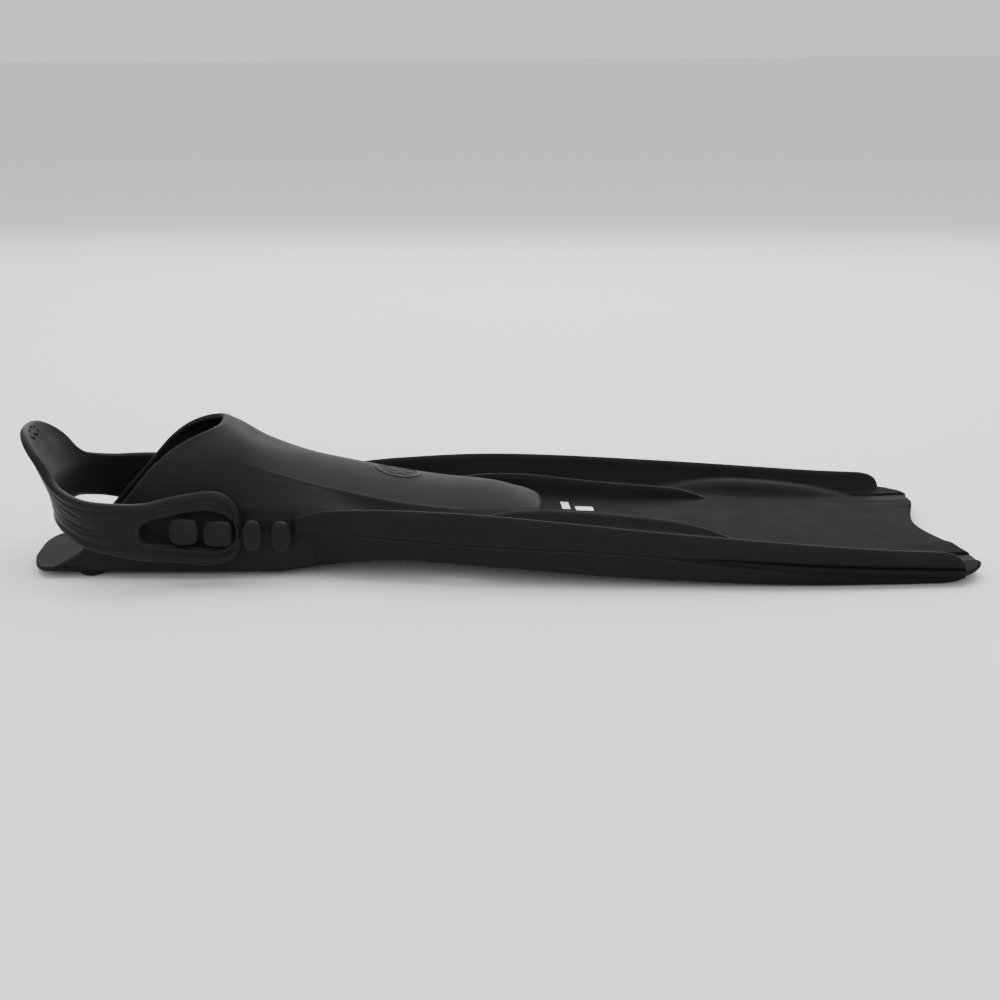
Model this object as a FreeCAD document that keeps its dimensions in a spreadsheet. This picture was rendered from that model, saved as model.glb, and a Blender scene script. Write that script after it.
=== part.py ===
import FreeCAD, Part
import math
import os
import Sketcher

# One open-heel swim fin. +X runs from the heel to the blade's tip, +Y to the wearer's left and +Z up.
# The fin stands on its two heel pads and on its rails. Stations along the fin are given as the distance
# in millimetres from the heel's rear edge, and heights from the ground.

# --- driving dimensions -------------------------------------------------------------------------------

DIMENSIONS = {
    "heel_x": -317.0,          # where the heel's rear edge lies in the part's frame
    "fin_length": 640.0,       # heel edge to the blade's two tips
    "notch_depth": 18.0,       # how far the middle of the blade's edge stands back from the tips
    "blade_root": 296.0,       # station where the blade plate starts, inside the toe
    "blade_thick": 3.6,
    "rail_half": 98.0,         # half the distance between the rails over the wide part of the blade
    "rail_thick": 8.0,
    "rail_start": 182.0,
    "rail_start_thick": 2.0,
    "rail_end": 622.0,
    "rib_thick": 6.0,
    "glue_gap": 0.08,          # between the blade and what is bonded to it
    "sole_gap": 0.4,           # between the blade's root and the sole under it
    "insert_width": 15.0,
    "insert_thick": 2.4,
    "wall": 3.6,               # foot pocket wall
    "sole_thick": 5.2,
    "heel_edge_thick": 2.6,    # the sole thins out towards the heel's rear edge
    "toe_station": 352.0,      # where the pocket's tongue ends on the blade
    "peg_neck_radius": 6.0,
    "peg_head_face": 66.2,     # distance of a head's inner face from the middle plane
    "peg_root_1": 51.5,        # and of each neck's root, inside the pocket's wall
    "peg_root_2": 53.3,
    "peg_root_3": 54.4,
    "peg_root_4": 54.0,
    "peg_head_thick": 5.0,
    "peg_head_round": 1.8,
    "rear_head_wide": 19.0,    # the two pegs that the strap is hooked on
    "rear_head_tall": 18.0,
    "front_head_wide": 14.0,   # the two free pegs
    "front_head_tall": 21.0,
    "strap_thick": 5.5,
    "strap_widest": 80.0,      # station where the strap's band is widest
    "strap_half": 70.6,
    "strap_round": 2.4,        # 2 would make the band's plan an ellipse, and more is squarer
    "strap_back_end": 46.0,    # how far forward the view from the rear gives the strap its outline
    "loop_front": 147.0,       # station of the strap loops' front edge
    "pad_radius": 8.5,
    "pad_height": 4.2,
    "pad_station": 42.0,
    "pad_half": 33.0,
    "badge_long": 32.0,
    "badge_wide": 24.0,
    "badge_station": 250.0,
    "badge_foot": 30.0,        # height inside the pocket where the badge's tool starts
    "blade_spread": 240.0,     # more than the fin's width, for the tools that cut it
    "tool_height": 160.0,
    "tool_back": 60.0,         # how far behind the heel such a tool starts
}

doc = FreeCAD.newDocument("swim_fin")
sheet = doc.addObject("Spreadsheet::Sheet", "dims")
for row, (alias, value) in enumerate(DIMENSIONS.items(), start=1):
    sheet.set(f"A{row}", alias)
    sheet.set(f"B{row}", str(value))
    sheet.setAlias(f"B{row}", alias)
doc.recompute()


def dim(alias):
    """The value of a cell of the spreadsheet."""
    return float(sheet.get(alias))


# --- the fin's driving curves: (station, value) points ------------------------------------------------

RAIL_HALF = [(176, 52), (205, 57.5), (250, 67), (320, 81), (380, 89.5), (440, 94.5), (520, 98), (630, 98)]
RAIL_TOP = [(176, 40), (205, 47), (250, 49.5), (320, 47.5), (440, 36.5), (560, 25), (614, 21.4)]
RAIL_BOTTOM = [(176, 9), (220, 12), (253, 14.4), (320, 11.8), (380, 7.8), (445, 4), (511, 1), (562, 0),
               (612, 0)]
BLADE_MID = [(180, 31.5), (260, 30), (320, 28), (380, 24), (445, 18.5), (510, 13), (557, 10), (611, 7.2),
             (645, 6)]
FLANGE = [(290, -1.5), (400, -0.6), (440, 0.6), (500, 3.6), (560, 5), (622, 5.4)]    # blade beyond the rail
RIB_HALF = [(296, 57), (320, 50.5), (350, 45.2), (392, 41.8), (422, 42.4), (456, 48), (480, 51)]
RIB_TOP = [(296, 43.5), (320, 42), (360, 39.4), (400, 34.8), (440, 30.2), (458, 26.8), (478, 18.6)]
INSERT_MID = [(334, 65), (400, 68), (470, 71.5), (560, 73), (640, 73)]
SOLE_BOTTOM = [(0, 5), (30, 3.2), (60, 3.2), (150, 3.2), (200, 8), (250, 14), (296, 20.5), (352, 23.2)]
SOLE_HALF = [(0, 0), (0.4, 13), (1.6, 22), (3.6, 30), (7, 37), (12, 41.5), (24, 43.6), (45, 44.4), (110, 47),
             (160, 49.5), (205, 51.5), (285, 60), (352, 36)]
RIM = [(6, 1), (13, 4.6), (19, 7.2), (26, 10.6), (33, 14.6), (39, 19.2), (46, 27), (56, 38.6), (70, 53.4),
       (87, 73), (98, 83), (107, 88.7), (117, 93), (126, 95.6), (133, 97.3)]
RIM_ROOM = [(133, 140), (-30, 140), (-30, 1)]     # corners of what is cut away above the rim

# Foot pocket, outside: half widths at the sole, at the side's widest and at the crease, with their heights.
POCKET = [
    # station, sole half, side half, side z, crease half, crease z, top z
    (8, 40, 42, 26, 33, 66, 84),
    (45, 44, 47, 32, 38, 74, 94),
    (90, 47, 52, 36, 42.5, 79, 100),
    (133, 49, 55, 38, 40, 81, 97.5),
    (160, 50, 55.5, 40, 43, 72, 82.5),
    (190, 51, 55.5, 42, 49, 64, 72.6),
    (220, 53, 58, 43, 54.5, 58.5, 65.3),
    (252, 57, 63, 43, 61, 52, 58),
    (285, 61, 68, 41, 64, 47.5, 52.5),
    (318, 55, 58, 38, 52, 44.5, 48),
    (338, 46, 47, 33, 42, 37.5, 40),
    (352, 38, 38, 28.6, 35, 30, 31.5),
]
POCKET_FLOOR = [(8, 5), (60, 5), (150, 5), (200, 10), (250, 16), (300, 22), (352, 24)]
CAVITY_END = 304.0

# Heel strap. In plan its arms run back from the loops to the widest place, and the band goes round the heel.
STRAP_ARM = [(147, 64), (130, 64.3), (115, 64.7), (103, 65.5), (94, 67.4), (86, 69.8)]
STRAP_TURNS = [80, 64, 48, 34, 20, 8]                 # places round the heel, in degrees from the rear
# Height, and the station of the band's rear at that height.
STRAP_LEVELS = [(6, 18), (24, 15.6), (42, 14.6), (55, 12.2), (64, 8.6), (75, 4), (82, 0.5), (91, -3.3),
                (100, -6.5)]
STRAP_TOP = [(0, 97.8), (12, 97.2), (22, 94.6), (30, 90.2), (36, 84.6), (40, 77.5), (43, 70.5), (48, 64.6),
             (54, 61.8), (60, 59.8), (66, 58.6), (72, 58.2)]                              # half width, height
STRAP_FOOT = [(0, 37), (20, 36.8), (31, 36.2), (39, 34.8), (50, 31.7), (56, 29.6), (60, 27.6), (66, 24.6),
              (72, 22.6)]
STRAP_REACH = [(-30, 10), (-30, 110)]                 # behind its rear, where the side view's outline closes
LOOP_TOP = [(30, 62.5), (46, 58.9), (58, 58.2), (72, 57.8), (88, 58.2), (100, 60.2), (112, 62.2), (123, 63.6),
            (132, 63.2), (140, 58.8)]
LOOP_FOOT = [(30, 29), (46, 24.6), (58, 23.4), (78, 19.4), (92, 17), (106, 15.1), (120, 12.8), (132, 13.2),
             (140, 17)]
LOOP_FRONT = (47, 28)                                 # heights where the loop's front edge ends
LOOP_HOLE = [(78, 37.5), (84, 43.5), (104, 46.5), (124, 48.3), (136, 43), (139, 36.2),
             (136, 28.5), (124, 24.3), (104, 27), (84, 31)]
PEGS = [(110, 38.0, "rear"), (132, 36.2, "rear"), (154.5, 34.4, "front"), (173, 33.4, "front")]


def x_of(station):
    return station + dim("heel_x")


def value_at(points, station):
    """A smooth curve through (station, value) points: a cubic with the slopes of its neighbours."""
    if station <= points[0][0]:
        return points[0][1]
    if station >= points[-1][0]:
        return points[-1][1]
    i = max(k for k, p in enumerate(points[:-1]) if p[0] <= station)
    (s0, v0), (s1, v1) = points[i], points[i + 1]

    def slope(k):
        a, b = points[max(k - 1, 0)], points[min(k + 1, len(points) - 1)]
        return (b[1] - a[1]) / (b[0] - a[0])

    span = s1 - s0
    t = (station - s0) / span
    return ((2 * t ** 3 - 3 * t ** 2 + 1) * v0 + (t ** 3 - 2 * t ** 2 + t) * span * slope(i)
            + (-2 * t ** 3 + 3 * t ** 2) * v1 + (t ** 3 - t ** 2) * span * slope(i + 1))


def spline(points, knots=None):
    """An edge through points, in part coordinates; a loft's sections all share one list of knots."""
    curve = Part.BSplineCurve()
    vectors = [FreeCAD.Vector(*p) for p in points]
    if knots:
        curve.interpolate(Points=vectors, Parameters=knots)
    else:
        curve.interpolate(vectors)
    return curve.toShape()


def face(edges):
    """A planar face from edges that follow one another."""
    return Part.Face(Part.Wire(edges))


def line(a, b):
    return Part.LineSegment(FreeCAD.Vector(*a), FreeCAD.Vector(*b)).toShape()


def profile(name, shape):
    """A hidden profile that an extrusion reads."""
    made = doc.addObject("Part::Feature", name)
    made.Shape = shape
    return made


def extrusion(name, base, direction, length_cell, both=False):
    made = doc.addObject("Part::Extrusion", name)
    made.Base = base
    made.DirMode = "Custom"
    made.Dir = FreeCAD.Vector(*direction)
    made.Solid = True
    made.Symmetric = both
    made.setExpression("LengthFwd", f"dims.{length_cell}")
    return made


def common(name, *shapes):
    made = doc.addObject("Part::MultiCommon", name)
    made.Shapes = list(shapes)
    return made


def cut(name, base, tool):
    made = doc.addObject("Part::Cut", name)
    made.Base = base
    made.Tool = tool
    made.Refine = False
    return made


def fuse(name, shapes):
    made = doc.addObject("Part::MultiFuse", name)
    made.Shapes = list(shapes)
    return made


def side_band(name, upper, lower, start, end, steps=9):
    """A closed side view between two height curves, drawn on the middle plane and extruded across the fin."""
    stations = [start + (end - start) * i / steps for i in range(steps + 1)]
    top = [(x_of(s), 0, upper(s)) for s in stations]
    bottom = [(x_of(s), 0, lower(s)) for s in stations]
    edges = [spline(top), line(top[-1], bottom[-1]), spline(bottom), line(bottom[0], top[0])]
    flat = profile(name + "_side", Part.Face(Part.Wire(Part.sortEdges(edges)[0])))
    return extrusion(name + "_side_solid", flat, (0, 1, 0), "blade_spread", both=True)


def plan_band(name, outer, inner, start, end, steps=9):
    """A closed plan view between two half-width curves, extruded up from under the fin."""
    stations = [start + (end - start) * i / steps for i in range(steps + 1)]
    far = [(x_of(s), outer(s), 0) for s in stations]
    near = [(x_of(s), inner(s), 0) for s in stations]
    edges = [spline(far), line(far[-1], near[-1]), spline(near), line(near[0], far[0])]
    flat = profile(name + "_plan", Part.Face(Part.Wire(Part.sortEdges(edges)[0])))
    return extrusion(name + "_plan_solid", flat, (0, 0, 1), "tool_height")


PARTS = []


def part(node, made):
    """Names a finished sub-part: its Label is the file's name."""
    made.Label = node
    PARTS.append(made)
    return made


def mirrored(node, source):
    """The same piece on the other side of the middle plane."""
    made = doc.addObject("Part::Mirroring", node + "_mirror")
    made.Source = source
    made.Normal = FreeCAD.Vector(0, 1, 0)
    made.Base = FreeCAD.Vector(0, 0, 0)
    return made


# --- curves worked out from the points ----------------------------------------------------------------

def rail_half(s):
    return value_at(RAIL_HALF, s) * dim("rail_half") / 98.0


def blade_top(s, gap=0.0):
    return value_at(BLADE_MID, s) + dim("blade_thick") / 2 + gap


def blade_foot(s, gap=0.0):
    return value_at(BLADE_MID, s) - dim("blade_thick") / 2 - gap


def bonded_top(s):
    """Where a piece bonded to the blade's upper face starts."""
    return blade_top(s, dim("glue_gap"))


def bonded_foot(s):
    """Where a piece bonded to the blade's lower face ends."""
    return blade_foot(s, dim("glue_gap"))


def end_round(s, end, depth, height):
    """How far a rail's end has rounded off at a station: a quarter ellipse of that depth and height."""
    over = max(0.0, s - (end - depth)) / depth
    return height * (1 - math.sqrt(max(0.0, 1 - over ** 2)))


# --- blade --------------------------------------------------------------------------------------------

TIP_HALF, CORNER_HALF = 78.0, 103.0       # how far the tips and the corners stand from the middle
CORNER_CUT = 17.0                         # how far the corners stand back from the tips


def blade_edge(y):
    """Station of the blade's free edge at a distance y from the middle: notch, tips, cut-back corners."""
    length = dim("fin_length")
    if abs(y) <= TIP_HALF:
        return length - dim("notch_depth") * (0.5 + 0.5 * math.cos(math.pi * abs(y) / TIP_HALF))
    share = (abs(y) - TIP_HALF) / (CORNER_HALF - TIP_HALF)
    return length - CORNER_CUT * share ** 2


def make_blade():
    root = dim("blade_root")
    half = [(s, rail_half(s) + dim("rail_thick") / 2 + value_at(FLANGE, s))
            for s in (root, 320, 360, 420, 480, 540, 600)]
    half.append((blade_edge(CORNER_HALF), CORNER_HALF))
    side = [(x_of(s), h, 0) for s, h in half]
    near = [(x_of(blade_edge(y)), y, 0) for y in (CORNER_HALF, 91, TIP_HALF, 58, 38, 19)]
    edge = near + [(x_of(blade_edge(0)), 0, 0)] + [(x, -y, 0) for x, y, _ in reversed(near)]
    other = [(x, -y, 0) for x, y, _ in reversed(side)]
    outline = face([spline(side), spline(edge), spline(other), line(other[-1], side[0])])
    plan = extrusion("blade_plan_solid", profile("blade_plan", outline), (0, 0, 1), "tool_height")
    band = side_band("blade", blade_top, blade_foot, root - 6, dim("fin_length") + 8, steps=18)
    return common("blade_whole", band, plan)


def make_insert():
    """A soft strip in the blade between the middle panel and a rail, open at the blade's free edge."""
    half, start = dim("insert_width") / 2, INSERT_MID[0][0]

    def reach(s):
        return half * min(1.0, 0.35 + 0.65 * (s - start) / 60)

    return plan_band("insert", lambda s: value_at(INSERT_MID, s) + reach(s),
                     lambda s: value_at(INSERT_MID, s) - reach(s), start, dim("fin_length") + 10)


blade_whole = make_blade()
slot_left = make_insert()
slot_right = mirrored("insert_slot_right", slot_left)
slots = fuse("insert_slots", [slot_left, slot_right])
blade = part("blade_panel", cut("blade_cut", blade_whole, slots))


def strip_top(s):
    return value_at(BLADE_MID, s) + dim("insert_thick") / 2


def strip_foot(s):
    return value_at(BLADE_MID, s) - dim("insert_thick") / 2


strip_band = side_band("strip", strip_top, strip_foot, dim("blade_root"), dim("fin_length") + 8)
strip_left = part("channel_insert_left", common("strip_left", strip_band, slot_left, blade_whole))
strip_right = part("channel_insert_right", mirrored("strip_right", strip_left))


# --- rails --------------------------------------------------------------------------------------------

def rail_plan(name):
    half = dim("rail_thick") / 2
    return plan_band(name, lambda s: rail_half(s) + half, lambda s: rail_half(s) + half - rail_thick(s),
                     dim("rail_start"), dim("rail_end"), steps=12)


def rail_thick(s):
    """A rail grows out of the pocket's side: thin at its start, full thickness 50 mm further on."""
    start = dim("rail_start_thick")
    return start + (dim("rail_thick") - start) * min(1.0, (s - dim("rail_start")) / 50.0)


def upper_rail_top(s):
    end = dim("rail_end")
    return value_at(RAIL_TOP, s) - end_round(s, end, 13.0, RAIL_TOP[-1][1] - blade_top(end) - 2.0)


def lower_rail_foot(s):
    return value_at(RAIL_BOTTOM, s) + end_round(s, dim("rail_end"), 12.0, blade_foot(dim("rail_end")) - 1.0)


plan = rail_plan("rail")
upper = side_band("rail_upper", upper_rail_top, bonded_top, dim("rail_start"), dim("rail_end"), steps=24)
lower = side_band("rail_lower", bonded_foot, lower_rail_foot, dim("rail_start"), dim("rail_end"), steps=24)
rail_upper_left = part("rail_upper_left", common("rail_ul", upper, plan))
rail_lower_left = part("rail_lower_left", common("rail_ll", lower, plan))
rail_upper_right = part("rail_upper_right", mirrored("rail_ur", rail_upper_left))
rail_lower_right = part("rail_lower_right", mirrored("rail_lr", rail_lower_left))

# --- inner ribs, from the toe along the blade ---------------------------------------------------------

RIB_ENDS = (300, 478)
rib_plan = plan_band("rib", lambda s: value_at(RIB_HALF, s) + dim("rib_thick") / 2,
                     lambda s: value_at(RIB_HALF, s) - dim("rib_thick") / 2, *RIB_ENDS)
rib_side = side_band("rib", lambda s: value_at(RIB_TOP, s), bonded_top, *RIB_ENDS, steps=14)
rib_left = part("toe_rib_left", common("rib_l", rib_side, rib_plan))
rib_right = part("toe_rib_right", mirrored("rib_r", rib_left))


# --- sole ---------------------------------------------------------------------------------------------

def sole_foot(s):
    return value_at(SOLE_BOTTOM, s)


def sole_top(s):
    thin = (dim("sole_thick") - dim("heel_edge_thick")) * max(0.0, 1 - s / 26.0)
    top = value_at(SOLE_BOTTOM, s) + dim("sole_thick") - thin
    return min(top, blade_foot(s, dim("sole_gap"))) if s > dim("blade_root") else top


def make_sole():
    side = [(x_of(s), h, 0) for s, h in SOLE_HALF]
    other = [(x, -y, 0) for x, y, _ in reversed(side)]
    outline = face([spline(side), line(side[-1], other[0]), spline(other)])
    plan_solid = extrusion("sole_plan_solid", profile("sole_plan", outline), (0, 0, 1), "tool_height")
    band = side_band("sole", sole_top, sole_foot, -4, dim("toe_station"), steps=16)
    return common("sole_whole", band, plan_solid)


sole = part("sole_plate", make_sole())


# --- foot pocket --------------------------------------------------------------------------------------

SECTION_KNOTS = [0.0, 1.0, 1.7, 2.7, 3.6, 4.5, 5.5, 6.2, 7.2]


def pocket_row(s):
    """The outside's sizes at any station, between the rows of the table."""
    return [value_at([(row[0], row[i]) for row in POCKET], s) for i in range(1, 7)]


def section(s, inset=0.0, drop=0.0):
    """One cross-section of the pocket: a flat foot and one curve over the sides, creases and top."""
    sole_half, side_half, side_z, crease_half, crease_z, top_z = pocket_row(s)
    floor = value_at(POCKET_FLOOR, s) - drop
    brow_z = crease_z + 0.78 * (top_z - crease_z)
    crease = (crease_half - inset, crease_z - inset * 0.7)
    brow = (crease[0] / 2, brow_z - inset)
    right = [(sole_half - inset, floor), (side_half - inset, side_z), crease, brow, (0, top_z - inset)]
    points = [(x_of(s), y, z) for y, z in right]
    points += [(x, -y, z) for x, y, z in reversed(points[:-1])]
    return Part.Wire([spline(points, SECTION_KNOTS), line(points[-1], points[0])])


def loft(name, wires):
    made = doc.addObject("Part::Loft", name)
    made.Sections = [profile(f"{name}_section_{i}", w) for i, w in enumerate(wires)]
    made.Solid = True
    made.Ruled = False
    return made


def stations_between(start, end, count):
    return [start + (end - start) * i / (count - 1) for i in range(count)]


outside = loft("pocket_outside", [section(s) for s in stations_between(POCKET[0][0], POCKET[-1][0], 18)])
inside = loft("pocket_inside", [section(s, dim("wall"), 4.0) for s in stations_between(-14, CAVITY_END, 16)])

rim = [(x_of(s), 0, z) for s, z in RIM]
rim_room = [rim[-1]] + [(x_of(s), 0, z) for s, z in RIM_ROOM] + [rim[0]]
rim_face = face([spline(rim)] + [line(a, b) for a, b in zip(rim_room, rim_room[1:])])
rim_tool = extrusion("rim_tool", profile("rim_profile", rim_face), (0, 1, 0), "blade_spread", both=True)


# --- pegs ---------------------------------------------------------------------------------------------

def plane(body, role):
    return next(f for f in body.Origin.OriginFeatures if f.Role == role)


def peg_head_sketch(body, wide_cell, tall_cell):
    """An ellipse in the sketch's own plane, with its two diameters set from the sheet."""
    sketch = body.newObject("Sketcher::SketchObject", body.Name + "_head_sketch")
    sketch.AttachmentSupport = [(plane(body, "XZ_Plane"), "")]
    sketch.MapMode = "FlatFace"
    wide, tall = dim(wide_cell) / 2, dim(tall_cell) / 2
    major, minor = (FreeCAD.Vector(wide, 0, 0), FreeCAD.Vector(0, tall, 0)) if wide >= tall else \
        (FreeCAD.Vector(0, tall, 0), FreeCAD.Vector(-wide, 0, 0))
    ellipse = sketch.addGeometry(Part.Ellipse(major, minor, FreeCAD.Vector(0, 0, 0)), False)
    sketch.exposeInternalGeometry(ellipse)
    long_cell, short_cell = (wide_cell, tall_cell) if wide >= tall else (tall_cell, wide_cell)
    sketch.addConstraint(Sketcher.Constraint("Coincident", ellipse, 3, -1, 1))
    direction = "Horizontal" if wide >= tall else "Vertical"
    sketch.addConstraint(Sketcher.Constraint(direction, ellipse + 1))
    for axis, cell, label in ((1, long_cell, "long_axis"), (2, short_cell, "short_axis")):
        index = sketch.addConstraint(Sketcher.Constraint("Distance", ellipse + axis, dim(cell)))
        sketch.renameConstraint(index, label)
        sketch.setExpression(f"Constraints.{label}", f"dims.{cell}")
    return sketch


def make_peg(node, kind, number):
    """A mushroom peg along its body's own Y: a round neck inward from the origin, an oval head outward."""
    body = doc.addObject("PartDesign::Body", node)
    neck_sketch = body.newObject("Sketcher::SketchObject", node + "_neck_sketch")
    neck_sketch.AttachmentSupport = [(plane(body, "XZ_Plane"), "")]
    neck_sketch.MapMode = "FlatFace"
    circle = Part.Circle(FreeCAD.Vector(0, 0, 0), FreeCAD.Vector(0, 0, 1), dim("peg_neck_radius"))
    neck_sketch.addGeometry(circle, False)
    neck_sketch.addConstraint(Sketcher.Constraint("Coincident", 0, 3, -1, 1))
    index = neck_sketch.addConstraint(Sketcher.Constraint("Radius", 0, dim("peg_neck_radius")))
    neck_sketch.renameConstraint(index, "radius")
    neck_sketch.setExpression("Constraints.radius", "dims.peg_neck_radius")
    neck = body.newObject("PartDesign::Pad", node + "_neck")
    neck.Profile = neck_sketch
    neck.Reversed = True
    neck.setExpression("Length", f"dims.peg_head_face - dims.peg_root_{number}")
    head_sketch = peg_head_sketch(body, f"{kind}_head_wide", f"{kind}_head_tall")
    head = body.newObject("PartDesign::Pad", node + "_head")
    head.Profile = head_sketch
    head.setExpression("Length", "dims.peg_head_thick")
    doc.recompute()
    rims = [f"Edge{i + 1}" for i, e in enumerate(head.Shape.Edges)
            if isinstance(e.Curve, Part.Ellipse)]
    rounding = body.newObject("PartDesign::Fillet", node + "_rounding")
    rounding.Base = (head, rims)
    rounding.setExpression("Radius", "dims.peg_head_round")
    body.Tip = rounding
    return body


pegs = []
for side, sign in (("right", -1), ("left", 1)):
    for number, (station, height, kind) in enumerate(PEGS, start=1):
        peg = part(f"strap_peg_{side}_{number}", make_peg(f"peg_{side}_{number}", kind, number))
        turn = FreeCAD.Rotation(FreeCAD.Vector(0, 0, 1), 0 if sign < 0 else 180)
        root = FreeCAD.Vector(x_of(station), sign * dim("peg_head_face"), height)
        peg.Placement = FreeCAD.Placement(root, turn)
        pegs.append(peg)

# --- badge on the instep ------------------------------------------------------------------------------

badge_body = doc.addObject("PartDesign::Body", "badge_tool")
badge_sketch = badge_body.newObject("Sketcher::SketchObject", "badge_sketch")
badge_sketch.AttachmentSupport = [(plane(badge_body, "XY_Plane"), "")]
badge_sketch.MapMode = "FlatFace"
badge_sketch.addGeometry(Part.Ellipse(FreeCAD.Vector(dim("badge_long") / 2, 0, 0),
                                      FreeCAD.Vector(0, dim("badge_wide") / 2, 0),
                                      FreeCAD.Vector(0, 0, 0)), False)
badge_pad = badge_body.newObject("PartDesign::Pad", "badge_pad")
badge_pad.Profile = badge_sketch
badge_pad.setExpression("Length", "dims.tool_height")
badge_body.Placement.Base = FreeCAD.Vector(x_of(dim("badge_station")), 0, dim("badge_foot"))

# The pocket is what is left of the outside once the foot's room, the rim and its neighbours are taken out.
shell = cut("pocket_shell", cut("pocket_hollow", outside, inside), rim_tool)
pocket_left = cut("pocket_badge_seat", shell, badge_body)
neighbours = [blade_whole, sole, rail_upper_left, rail_upper_right, rail_lower_left, rail_lower_right,
              rib_left, rib_right]
for i, neighbour in enumerate(pegs + neighbours):
    pocket_left = cut(f"pocket_clear_{i}", pocket_left, neighbour)
foot_pocket = part("foot_pocket", pocket_left)
badge = part("instep_badge", common("badge_shape", badge_body, shell))


# --- heel strap ---------------------------------------------------------------------------------------

def strap_section(height, rear, inset):
    """One level of the strap's band in plan, from one loop round the heel to the other."""
    widest, half = dim("strap_widest"), dim("strap_half") - inset
    reach, power = widest - rear - inset, 2 / dim("strap_round")
    side = [(s, w - inset) for s, w in STRAP_ARM]
    for degrees in STRAP_TURNS:
        a = math.radians(degrees)
        side.append((widest - reach * math.cos(a) ** power, half * math.sin(a) ** power))
    one = [(x_of(s), y, height) for s, y in side]
    other = [(x, -y, height) for x, y, _ in reversed(one)]
    return one + [(x_of(rear + inset), 0, height)] + other


def chord_knots(points):
    """Knots spaced like the points, so that the curve through them doesn't swing out."""
    knots = [0.0]
    for a, b in zip(points, points[1:]):
        knots.append(knots[-1] + math.dist(a, b))
    return knots


strap_knots = chord_knots(strap_section(*STRAP_LEVELS[2], 0.0))


def strap_wire(height, rear):
    outer = strap_section(height, rear, 0.0)
    inner = strap_section(height, rear, dim("strap_thick"))
    return Part.Wire([spline(outer, strap_knots), line(outer[-1], inner[-1]),
                      spline(list(reversed(inner)), strap_knots), line(inner[0], outer[0])])


def on_middle(points):
    """Points of the middle plane from (station, height)."""
    return [(x_of(s), 0, z) for s, z in points]


band = loft("strap_band", [strap_wire(z, rear) for z, rear in STRAP_LEVELS])

# The side view gives the loops their outline; behind them it leaves the band whole.
loop_top = on_middle(LOOP_TOP + [(dim("loop_front"), LOOP_FRONT[0])])
loop_foot = on_middle(list(reversed(LOOP_FOOT + [(dim("loop_front"), LOOP_FRONT[1])])))
reach_foot, reach_top = STRAP_REACH
behind = [loop_foot[-1]] + on_middle([(LOOP_FOOT[0][0], reach_foot[1]), reach_foot, reach_top,
                                      (LOOP_TOP[0][0], reach_top[1])]) + [loop_top[0]]
loop_face = face([spline(loop_top), line(loop_top[-1], loop_foot[0]), spline(loop_foot)]
                 + [line(a, b) for a, b in zip(behind, behind[1:])])
side_tool = extrusion("strap_side_tool", profile("strap_side", loop_face), (0, 1, 0), "blade_spread", True)


def across_back(points):
    """Points of a plane behind the heel from (half width, height), from the right side to the left."""
    behind_x = x_of(-dim("tool_back"))
    left = [(behind_x, y, z) for y, z in points]
    return [(x, -y, z) for x, y, z in reversed(left[1:])] + left


# The view from the rear gives the pull tab and the band their outline.
tab_top, band_foot = across_back(STRAP_TOP), across_back(STRAP_FOOT)
tab_face = face([spline(tab_top), line(tab_top[-1], band_foot[-1]), spline(list(reversed(band_foot))),
                 line(band_foot[0], tab_top[0])])
back_tool = extrusion("strap_back_tool", profile("strap_back", tab_face), (1, 0, 0), "tool_back")
back_tool.setExpression("LengthFwd", "dims.tool_back + dims.strap_back_end")
arm_room = doc.addObject("Part::Box", "strap_arm_room")
arm_room.setExpression("Length", "dims.tool_height")
arm_room.setExpression("Width", "dims.blade_spread")
arm_room.setExpression("Height", "dims.tool_height")
arm_room.Placement.Base = FreeCAD.Vector(x_of(dim("strap_back_end")), -dim("blade_spread") / 2, 0)
back_and_arms = fuse("strap_back_and_arms", [back_tool, arm_room])

hole_curve = Part.BSplineCurve()
hole_curve.interpolate(Points=[FreeCAD.Vector(*p) for p in on_middle(LOOP_HOLE)], PeriodicFlag=True)
hole_tool = extrusion("loop_hole_tool", profile("loop_hole", Part.Face(Part.Wire(hole_curve.toShape()))),
                      (0, 1, 0), "blade_spread", both=True)
strap_solid = common("strap_solid", band, side_tool, back_and_arms)
strap = part("heel_strap", cut("strap_cut", strap_solid, hole_tool))

# --- heel pads ----------------------------------------------------------------------------------------

pads = []
for sign in (-1, 1):
    pad = doc.addObject("Part::Cylinder", f"heel_pad_{'left' if sign > 0 else 'right'}_disc")
    pad.setExpression("Radius", "dims.pad_radius")
    pad.setExpression("Height", "dims.pad_height")
    pad.Placement.Base = FreeCAD.Vector(x_of(dim("pad_station")), sign * dim("pad_half"), 0)
    pads.append(pad)
pad_pair = fuse("heel_pad_discs", pads)
heel_pads = part("heel_pads", cut("heel_pads_cut", pad_pair, sole))


# --- check and write ----------------------------------------------------------------------------------

doc.recompute()
failed = [o.Name for o in doc.Objects if "Invalid" in o.State or "Error" in o.State]
if failed:
    raise SystemExit(f"these objects failed: {failed}")
os.makedirs("parts", exist_ok=True)
for made in PARTS:
    shape = made.Shape
    if shape.isNull() or not shape.isValid() or not shape.Solids:
        raise SystemExit(f"{made.Label} has no valid solid")
    print(f"{made.Label:24s} {len(shape.Solids)} solid(s) {shape.Volume / 1000:9.2f} cm3")
    shape.exportStep(f"parts/{made.Label}.step")
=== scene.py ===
import math

import bmesh
import bpy
from mathutils import Matrix, Vector


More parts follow.
